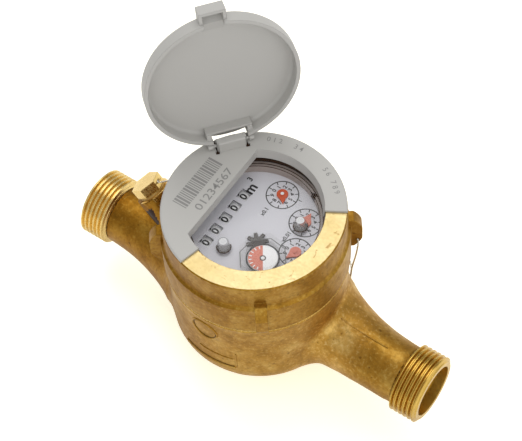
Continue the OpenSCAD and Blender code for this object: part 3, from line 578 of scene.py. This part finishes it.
def about_x(p):
    """Radius and length of points about the X axis."""
    return np.c_[np.hypot(p[:, 1], p[:, 2]), p[:, 0]]


def simple_distances(p):
    """Distances from points to the casting's simple bodies."""
    outlet = about_x((p - FLARE_TIP) @ FLARE_LEAN + FLARE_TIP)
    inlet = about_x((p * HALF_TURN - FLARE_TIP) @ FLARE_LEAN + FLARE_TIP)
    boss = about_z((p - BOSS_AT) @ BOSS_LEAN)
    return [outline_distance(about_z(p), BOWL),
            outline_distance(outlet, FLARE),
            outline_distance(inlet, FLARE),
            outline_distance(about_x(p), PIPE),
            outline_distance(boss, BOSS)]


def blended(p):
    """Distance to the casting with its inner corners filled by fillets."""
    d, *others = simple_distances(p)
    for other, fillet in zip(others, FILLETS):
        h = np.maximum(fillet - np.abs(d - other), 0.0) / fillet
        d = np.minimum(d, other) - h * h * fillet / 4
    return d


def lathe(outline, n=96):
    """Points and faces of a body of revolution about Z, from a half outline."""
    rim = [(max(r, 0.0), z) for r, z in outline]
    k = len(rim)
    verts, faces = [], []
    for i in range(n):
        a = 2 * math.pi * i / n
        verts += [(r * math.cos(a), r * math.sin(a), z) for r, z in rim]
        j = (i + 1) % n
        faces += [(i * k + q, j * k + q, j * k + q + 1, i * k + q + 1) for q in range(k - 1)]
    return np.array(verts), faces


def simple_bodies():
    """Points and faces of the casting's simple bodies, each in its place."""
    def outlet(v):
        return (v @ TO_X - FLARE_TIP) @ FLARE_LEAN.T + FLARE_TIP

    places = [
        (BOWL, lambda v: v),
        (FLARE, outlet),
        (FLARE, lambda v: outlet(v) * HALF_TURN),
        (PIPE, lambda v: v @ TO_X),
        (BOSS, lambda v: v @ BOSS_LEAN.T + BOSS_AT),
    ]
    verts, faces = np.empty((0, 3)), []
    for outline, place in places:
        v, f = lathe(outline)
        faces += [[len(verts) + k for k in q] for q in f]
        verts = np.vstack([verts, place(v)])
    return verts, faces


def one_skin(verts, faces):
    """Points and quads of one closed skin round several bodies."""
    raw = add("casting_raw", verts, faces, None, CAST)
    remesh = raw.modifiers.new("remesh", "REMESH")
    remesh.mode = "VOXEL"
    remesh.voxel_size = VOXEL * MM
    mesh = bpy.data.meshes.new_from_object(raw.evaluated_get(bpy.context.evaluated_depsgraph_get()))
    bpy.data.objects.remove(raw)
    p = np.array([v.co for v in mesh.vertices]) / MM
    quads = np.array([q.vertices for q in mesh.polygons])
    bpy.data.meshes.remove(mesh)
    return p, quads


def settled(p, rounds=3, step=0.02, least_slope=0.3):
    """Points moved onto the blended surface, and the surface's direction at each."""
    for _ in range(rounds):
        d = blended(p)
        slope = np.c_[[(blended(p + s) - d) / step for s in np.eye(3) * step]].T
        slope /= np.maximum(np.linalg.norm(slope, axis=1), least_slope)[:, None]
        p = p - slope * d[:, None]
    return p, slope


def sanded(p, slope, depth=0.06, broad=0.16, fine=0.5, sink=0.6):
    """Points with the shallow unevenness of a sand mould, sunk a little, apart from the pipe's ends.
    Broad and fine are the scales of two noises, of which the fine one has half the height."""
    grain = np.array([noise.noise(Vector(q) * broad) + noise.noise(Vector(q) * fine) / 2 for q in p])
    free = np.abs(p[:, 0]) < PIPE_END - 1.0
    p = p + slope * (depth * (grain - sink) * free)[:, None]
    p[:, 2] = np.maximum(p[:, 2], -AXIS)
    return p


def outer_quads(p, quads):
    """The skin's quads, without those across the pipe's ends and over the neck."""
    c = p[quads]
    at_end = (np.abs(c[..., 0]) > PIPE_END - 0.05).all(1)
    over_neck = ((c[..., 2] > SEAM_Z - 0.1) & (np.hypot(c[..., 0], c[..., 1]) < WIDE_R - 0.4)).all(1)
    return quads[~(at_end | over_neck)]


def machined_faces(near=0.25):
    """The CAD body's points, its faces other than the plain outside, and which of these line the bore.
    Faces within near of the simple bodies' surface count as the plain outside."""
    cad = nodes["body"].data
    up = np.array([0.0, 0.0, AXIS])
    points = np.array([v.co for v in cad.vertices]) / MM - up
    mid = np.array([f.center for f in cad.polygons]) / MM - up
    outside = np.abs(np.min(simple_distances(mid), axis=0)) < near
    outside &= (np.abs(mid[:, 0]) < PIPE_END - 0.1) & (mid[:, 2] < SEAM_Z - 0.1)
    bore = (np.hypot(mid[:, 1], mid[:, 2]) < END_BORE_R + 0.2) & (np.abs(mid[:, 0]) > BORE_START)
    faces = [list(f.vertices) for f, out in zip(cad.polygons, outside) if not out]
    return points, faces, bore[~outside]


# Painted shade on the flank of the inlet's boss, for the deep shadow between the boss and the head ring: its
# outline in X and Z at a fixed Y, the direction in which it falls on the casting, and the bounds that keep
# it on the boss
GAP_SHADE = [(-57.3, 32.2), (-52.4, 39.7), (-49.1, 28.0), (-54.6, 19.8)]
GAP_SHADE_Y = -9.0
GAP_SHADE_WAY = np.array([-0.337, 0.425, -0.840])
GAP_SHADE_MAX_X = -45.0
GAP_SHADE_MAX_Y = 1.0
GAP_SHADE_MIN_Z = 17.0


def stained(p):
    """Which points lie in the painted shade on the boss's flank."""
    q = p + GAP_SHADE_WAY * ((GAP_SHADE_Y - p[:, 1]) / GAP_SHADE_WAY[1])[:, None]
    on_boss = (p[:, 0] < GAP_SHADE_MAX_X) & (p[:, 1] < GAP_SHADE_MAX_Y) & (p[:, 2] > GAP_SHADE_MIN_Z)
    return (outline_distance(q[:, [0, 2]], GAP_SHADE) < 0) & on_boss


def casting():
    """The body with its fillets: a smooth skin in place of the plain outside, and the CAD's other faces."""
    p, quads = one_skin(*simple_bodies())
    p = sanded(*settled(p))
    skin = outer_quads(p, quads)
    cad_points, machined, bore = machined_faces()
    points = np.vstack([p, cad_points]) + np.array([0.0, 0.0, AXIS])
    faces = skin.tolist() + [[len(p) + k for k in f] for f in machined]
    looks = [CAST, TURNED, GAP_SHADE_BROWN, BORE]
    body = add("casting", points, faces, "meter", CAST, smooth=True)
    for look in looks[1:]:
        body.data.materials.append(look)
    # Skin faces inside the outline get the painted shade of the gap beside the boss
    skin_look = np.where(stained(p[skin].mean(1)), looks.index(GAP_SHADE_BROWN), looks.index(CAST))
    machined_look = np.where(bore, looks.index(BORE), looks.index(TURNED))
    body.data.polygons.foreach_set("material_index", [*skin_look.tolist(), *machined_look.tolist()])
    body.data.set_sharp_from_angle(angle=math.radians(SHARP_ANGLE))
    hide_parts("body")


# Relief of the casting: a plain cast ring and the edges of a panel, by direction and height on the bowl,
# with dark lines of painted shade just inside the ring and just above the panel's low edge
MARK_AT = (-91.0, 25.5)
MARK_REACH = (9.3, 6.8)
MARK_SHADE_REACH = (8.2, 6.0)
PANEL_START = -110.0
PANEL_END = -71.0
PANEL_LOW = -0.5
PANEL_HIGH = 12.0

# Burr in the seam under the head ring, between two directions
BURR_R = 42.12
BURR_Z = SEAM_Z + 0.05
BURR_START = -170.0
BURR_END = 30.0
BURR_WAVES = 160

# Parting line on the outlet's flare, and the heights between which the surface is looked for
PARTING_START = 45.0
PARTING_END = 70.0
PARTING_Y = 0.5
PARTING_LOW = 12.0
PARTING_HIGH = 30.0


def bead(name, points, radius, look, sides=6):
    """Thin rounded ridge along points."""
    path = np.array(points, float)
    frames = frames_along(path, (0.3, 0.5, 0.8))
    verts, faces = tube(path, frames, np.broadcast_to(radius, len(path)), sides)
    add(name, verts, faces, "meter", look, smooth=True)


def bowl_point(degrees, z):
    """Place on the bowl's side, z above the pipe axis."""
    widen = max(z - WIDEN_Z, 0.0) / (WIDE_Z - WIDEN_Z)
    return (*polar((0, 0), BOWL_R + (WIDE_R - BOWL_R) * widen, degrees), AXIS + z)


def bowl_oval(at, reach):
    return [bowl_point(at[0] + reach[0] * math.cos(a), at[1] + reach[1] * math.sin(a))
            for a in np.linspace(0, 2 * math.pi, 49)]


def bowl_line(start, end, z, n):
    return [bowl_point(a, z) for a in np.linspace(start, end, n)]


def seam():
    """Burr in the seam under the head ring, on the side where the photo shows it."""
    turn = np.linspace(BURR_START, BURR_END, 900)
    points = [(*polar((0, 0), BURR_R, a), AXIS + BURR_Z) for a in turn]
    bead("seam", points, 0.28 + 0.08 * np.sin(np.radians(turn) * BURR_WAVES), TURNED, sides=5)


def parting_line():
    """Line along the top of the outlet's flare, where the mould's halves met."""
    z = np.linspace(PARTING_LOW, PARTING_HIGH, 181)
    points = []
    for x in np.linspace(PARTING_START, PARTING_END, 26):
        off = np.abs(blended(np.c_[np.full(len(z), x), np.full(len(z), PARTING_Y), z]))
        points.append((x, PARTING_Y, AXIS + z[np.argmin(off)]))
    bead("parting_line", points, 0.32, CAST)


def relief():
    """What the foundry left on the casting, and dark lines of painted shade beside the cast ring and the
    panel's low edge.
    """
    bead("cast_ring", bowl_oval(MARK_AT, MARK_REACH), 0.5, CAST)
    # Painted shade: dark lines just inside the cast ring and just above the panel's low edge
    bead("cast_ring_shade", bowl_oval(MARK_AT, MARK_SHADE_REACH), 0.25, RELIEF_SHADE)
    bead("cast_line_shade", bowl_line(PANEL_START + 1, PANEL_END - 1, PANEL_LOW + 0.9, 30), 0.25, RELIEF_SHADE)
    seam()
    bead("cast_line_low", bowl_line(PANEL_START, PANEL_END, PANEL_LOW, 30), 0.6, CAST)
    bead("cast_line_mid", bowl_line(PANEL_START + 13, PANEL_END - 2, PANEL_LOW + 7.5, 20), 0.35, CAST)
    side = [bowl_point(PANEL_END + 0.5, z) for z in np.linspace(PANEL_LOW, PANEL_HIGH, 12)]
    bead("cast_line_end", side, 0.35, CAST)
    parting_line()


# Prints and small pieces

SCALE_R = 7.3
SCALE_TICK_R = 5.7
SCALE_DIGIT_R = 4.4
# Captions of the dials: words, place and height
CAPTIONS = [("x0.1", (-0.6, 8.3), 1.9), ("x0.01", (15.0, 2.6), 1.9), ("l", (9.5, 21.6), 1.7)]


def dial_print():
    """Painted shade in a bar beside each roller window, the printed unit, and the scales of the three dials
    with their captions.
    """
    ink, faint = Print(), Print()
    # Painted shade: a dark bar along each window's edge, where the window's wall is in shadow
    for x, y, _ in ROLLERS:
        side = y + WINDOW_W / 2 + 0.1
        ink.bar((x - 2.2, side), (x + 2.4, side), 0.35)
    ink.text("m", (-12.6, 14.9), height=4.9, turn=READ, bold=0.2)
    ink.text("3", (-15.8, 19.0), height=2.6, turn=READ, bold=0.1)
    for at in DIALS.values():
        faint.ring(at, SCALE_R, 0.5)
        for k in range(10):
            way = 2 * READ - 36 * k
            faint.bar(polar(at, SCALE_TICK_R, way), polar(at, SCALE_R, way), 0.45)
            faint.text(str(k), polar(at, SCALE_DIGIT_R, way), height=1.9, turn=READ, bold=0.08)
    for words, at, height in CAPTIONS:
        faint.text(words, at, height, turn=READ, bold=0.07)
    ink.lay("dial_ink_and_window_shade", flat(DIAL), "meter", INK_AND_SHADE)
    faint.lay("dial_scales", flat(DIAL), "meter", FAINT)


def pointer_dots():
    """Ends of the dials' arbors, in the middle of the pointers."""
    for name, at in DIALS.items():
        dot = Print()
        dot.ring(at, r=0.4, w=0.8, n=24)
        look = WHITE if name == "tenths" else SALMON
        dot.lay(f"pointer_dot_{name}", flat(top_of(f"arbor_{name}")), f"dial_{name}", look)


def round_roller(centre):
    """Places round a roller, from the distance along its axis and the distance round it."""
    x, y, z = centre
    r = ROLLER_R + LIFT
    return lambda u, v: (x - r * math.sin(v / ROLLER_R), y + u, z + r * math.cos(v / ROLLER_R))


def roller_digits():
    for i, centre in enumerate(ROLLERS, 1):
        ink = Print()
        for d in range(10):
            place = (-0.1, -math.radians(36 * d) * ROLLER_R)
            ink.text(str(d), place, height=3.5, bold=0.16, stretch=1.05)
        ink.lay(f"roller_digits_{i}", round_roller(centre), f"roller_{i}", INK_AND_SHADE)


def sweep_print():
    """The sweep disc's coloured half with its ticks, and the end of its arbor."""
    half, ticks, hub, top_disc = Print(), Print(), Print(), Print()
    half_start = 124.8
    half.ring(SWEEP, r=3.65, w=5.7, n=36, start=half_start, end=half_start + 180)
    for a in range(140, 300, 20):
        ticks.bar(polar(SWEEP, 4.9, a), polar(SWEEP, 6.3, a), w=0.55)
    hub.ring(SWEEP, r=1.15, w=0.5, n=24)
    top_disc.ring(SWEEP, r=0.45, w=0.9, n=24)
    half.lay("sweep_half", flat(SWEEP_TOP), "sweep", SALMON)
    ticks.lay("sweep_ticks", flat(SWEEP_TOP + LIFT), "sweep", WHITE)
    hub.lay("sweep_hub", flat(SWEEP_TOP + LIFT), "sweep", FAINT)
    top_disc.lay("sweep_cap", flat(SWEEP_TOP + LIFT), "sweep", WHITE)


def cover_lines():
    """Dark lines painted where edges show through the clear cover: the hood, the hole of the hood and the
    dial rim; painted shadow round the bases of the posts, and painted light on their tops.
    """
    edge, hole, foot_shade, top_disc, rim = Print(), Print(), Print(), Print(), Print()
    rim_inside = 28.2
    hole.ring(SWEEP, HOOD_HOLE_R, w=0.65)
    corners = [polar(SWEEP, HOOD_R - 0.3, HOOD_TURN + 45 * k) for k in range(9)]
    for a, b in zip(corners[:-1], corners[1:]):
        if max(math.hypot(*a), math.hypot(*b)) < rim_inside:
            edge.bar(a, b, w=0.4)
    # Painted shadow: a dark crescent round the near side of each post's base
    for at in POSTS:
        foot_shade.ring(at, r=2.8, w=1.3, n=36, start=-165, end=60)
        # Painted light: a light grey disc on each post's top
        top_disc.ring(at, r=0.9, w=1.8, n=36)
    rim.ring((0, 0), r=30.3, w=0.4, n=120)
    rim.ring((0, 0), r=28.9, w=0.3, n=120)
    hole.lay("hood_hole", under(HOOD_LOW), "meter", FAINT)
    edge.lay("hood_edges", under(HOOD_LOW), "meter", HAIR)
    top_disc.lay("post_top_light_discs", under(POST_TOP + LIFT), "meter", POST_TOP_LIGHT)
    foot_shade.lay("post_foot_shade", under(POST_FOOT), "meter", SHADE)
    rim.lay("rim_lines", flat(RIM_TOP), "meter", SHADE)


# A bar pattern that holds no message, and plain digits, on the collar
BAR_WIDTHS = (0.45, 0.8, 0.45, 1.1, 0.6)
BAR_GAPS = (0.55, 0.9, 0.55, 1.2)
BARS_X = (-32.0, -24.6)
BARS_Y = (-16.5, 12.0)
COLLAR_DIGITS_R = 37.0
# Digits round the collar: direction and words
COLLAR_DIGITS = [(110, "0 1 2"), (92, "3 4"), (64, "5 6"), (50, "7 8 9")]


def collar_print():
    bars = Print()
    y, end = BARS_Y
    k = 0
    w = BAR_WIDTHS[0]
    while y + w <= end:
        bars.bar((BARS_X[0], y + w / 2), (BARS_X[1], y + w / 2), w)
        y += w + BAR_GAPS[(k * 3 + k * k) % len(BAR_GAPS)]
        k += 1
        w = BAR_WIDTHS[(k * 7 + k * k) % len(BAR_WIDTHS)]
    bars.text("01234567", (-20.2, -1.5), height=3.7, turn=READ, bold=0.05, stretch=1.2)
    for way, words in COLLAR_DIGITS:
        bars.text(words, polar((0, 0), COLLAR_DIGITS_R, way), height=2.5, turn=way - READ, bold=0.02)
    bars.lay("collar_ink", flat(COLLAR), "meter", BARS)


# Slits beside the hinge, in a frame whose X points to the hinge
HINGE_DIR = 141.0
SLIT_X = 33.1
SLIT_Y = 7.0
SLIT_SQUARE = 1.8
SLIT_W = 0.6
SLIT_END = 40.8


def slit_floor():
    """Painted shade under the collar's slits beside the hinge: a dark sheet on the head ring where the brass
    below lies in shadow.
    """
    c, s = math.cos(math.radians(HINGE_DIR)), math.sin(math.radians(HINGE_DIR))
    dark = Print()
    inner, outer = SLIT_X - SLIT_SQUARE / 2, SLIT_X + SLIT_SQUARE / 2
    for y in (-SLIT_Y, SLIT_Y):
        dark.bar((inner, y), (outer, y), SLIT_SQUARE)
        dark.bar((outer, y), (SLIT_END, y), SLIT_W)
    dark.lay("slit_floor", lambda x, y: (x * c - y * s, x * s + y * c, RING_TOP + LIFT), "meter", SHADE)


# Places of the seal wire: at the plug, from the centre of its seat
WIRE_START = [(-0.2, 5, 3.2), (1.6, 3.5, 4.8), (3.3, 2.1, 6.3), (6.2, 4, 6.8), (8.7, 10, 4.2)]
# and round the back: direction, distance from the bowl, height above the pipe axis
WIRE_BACK = [
    (155.9, 10.2, 34), (136.5, 11, 20), (108.8, 8.3, 6), (80.5, 7.4, -3), (59, 5.3, -6), (42.3, 1.2, 2),
    (39, 1.9, 16), (35.9, 3.4, 30), (33.6, 4.2, 41), (34.4, 4.2, 44.5), (36.8, 4.1, 44.5), (40.5, 4.1, 44.5),
]
WIRE_TWIST = 3.2
STRAND_R = 0.26
STRAND_OUT = 0.27
STRAND_SIDES = 6


def smooth_path(route, steps=25):
    """Points along a smooth curve through the places of a route."""
    path = []
    last = len(route) - 1
    for i in range(last):
        a, b, c, d = (route[min(max(i + k, 0), last)] for k in (-1, 0, 1, 2))
        for t in np.linspace(0, 1, steps + 1)[:-1]:
            path.append(0.5 * (2 * b + (c - a) * t + (2 * a - 5 * b + 4 * c - d) * t ** 2
                               + (3 * b - a - 3 * c + d) * t ** 3))
    return np.array([*path, route[last]])


def seal_wire():
    """Two thin strands twisted about the wire's route."""
    up = np.array([0.0, 0.0, AXIS])
    route = [BOSS_AT + up + p for p in WIRE_START]
    route += [np.array([*polar((0, 0), BOWL_R + d, a), AXIS + z]) for a, d, z in WIRE_BACK]
    path = smooth_path(route)
    frames = frames_along(path, (0, -1, 0))
    run = np.r_[0, np.cumsum(np.linalg.norm(np.diff(path, axis=0), axis=1))]
    radii = np.full(len(path), STRAND_R)
    verts, faces = [], []
    for start in (0, math.pi):
        turns = 2 * math.pi * run / WIRE_TWIST + start
        strand = [p + STRAND_OUT * (u * math.cos(q) + v * math.sin(q))
                  for p, (u, v), q in zip(path, frames, turns)]
        more_verts, more_faces = tube(strand, frames, radii, STRAND_SIDES, len(verts))
        verts += more_verts
        faces += more_faces
    wire = add("seal_wire_twisted", verts, faces, "meter", WIRE, smooth=True)
    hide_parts("seal_wire")


# Stage, light and camera, in metres

FLOOR_HALF = 6.0
FLOOR_DROP = 0.0002
FLOOR_GLOW = (1.0, 0.94, 0.70)
FLOOR_GLOW_LEVEL = 0.62
# Share of the floor's glow that shows in reflections
FLOOR_GLOW_IN_GLOSS = 0.45
# Direction of the brighter side of the surroundings, and their levels on both sides
SKY_WAY = (0.80, -0.45, 0.40)
SKY_LOW = 0.32
SKY_HIGH = 0.90


def floor():
    """White floor. The camera sees its shadow lightened and warm, as in an overexposed product photo."""
    mesh = bpy.data.meshes.new("floor")
    corners = [(x * FLOOR_HALF, y * FLOOR_HALF, 0) for x, y in ((-1, -1), (1, -1), (1, 1), (-1, 1))]
    mesh.from_pydata(corners, [], [(0, 1, 2, 3)])
    obj = bpy.data.objects.new("floor", mesh)
    obj.location.z = -FLOOR_DROP
    bpy.context.scene.collection.objects.link(obj)
    look = material("floor", (0.93, 0.93, 0.93), 0.5, Specular_IOR_Level=0.0)
    t = Tree(look)
    lit = t.shader.outputs[0]
    glow = t.new("ShaderNodeEmission", Color=(*FLOOR_GLOW, 1.0), Strength=FLOOR_GLOW_LEVEL).outputs[0]
    both = t.fill(t.new("ShaderNodeAddShader"), lit, glow)
    ray = t.new("ShaderNodeLightPath").outputs
    seen = t.math("MULTIPLY_ADD", ray["Is Glossy Ray"], FLOOR_GLOW_IN_GLOSS, ray["Is Camera Ray"])
    t.show(t.blend(seen, lit, both))
    mesh.materials.append(look)


def surroundings():
    """White light from all round, stronger from one side."""
    world = bpy.data.worlds.new("world")
    world.use_nodes = True
    t = Tree(world)
    lean = t.new("ShaderNodeVectorMath")
    lean.operation = "DOT_PRODUCT"
    t.fill(lean, t.new("ShaderNodeTexCoord").outputs["Generated"], SKY_WAY)
    level = t.new("ShaderNodeMapRange", Value=lean.outputs["Value"], From_Min=-1.0, From_Max=1.0,
                  To_Min=SKY_LOW, To_Max=SKY_HIGH)
    background = world.node_tree.nodes["Background"]
    t.fill(background, (1.0, 1.0, 1.0, 1.0), level.outputs[0])
    bpy.context.scene.world = world


def lamp(name, at, target, size, watts):
    data = bpy.data.lights.new(name, "AREA")
    data.shape = "DISK"
    data.size = size
    data.energy = watts
    obj = bpy.data.objects.new(name, data)
    obj.location = at
    obj.rotation_euler = (Vector(at) - Vector(target)).to_track_quat("Z", "Y").to_euler()
    bpy.context.scene.collection.objects.link(obj)


def camera():
    """The camera that was fitted to the photo."""
    data = bpy.data.cameras.new("camera")
    data.lens = 127.81
    data.sensor_width = 36.0
    data.sensor_fit = "HORIZONTAL"
    obj = bpy.data.objects.new("camera", data)
    obj.location = (0.27774, -0.34597, 0.78478)
    obj.rotation_euler = [math.radians(a) for a in (32.7639, 2.4020, 34.6731)]
    bpy.context.scene.collection.objects.link(obj)
    bpy.context.scene.camera = obj


dress()
paint_details()
casting()
relief()
pointer_dots()
dial_print()
roller_digits()
sweep_print()
cover_lines()
collar_print()
slit_floor()
seal_wire()

floor()
surroundings()
lamp("key", at=(-0.35, 0.45, 1.2), target=(0, 0, 0.05), size=1.1, watts=6.5)
lamp("side", at=(0.9, -0.55, 0.75), target=(0, 0, 0.04), size=1.0, watts=2)
camera()
bpy.context.scene.view_settings.view_transform = "Standard"
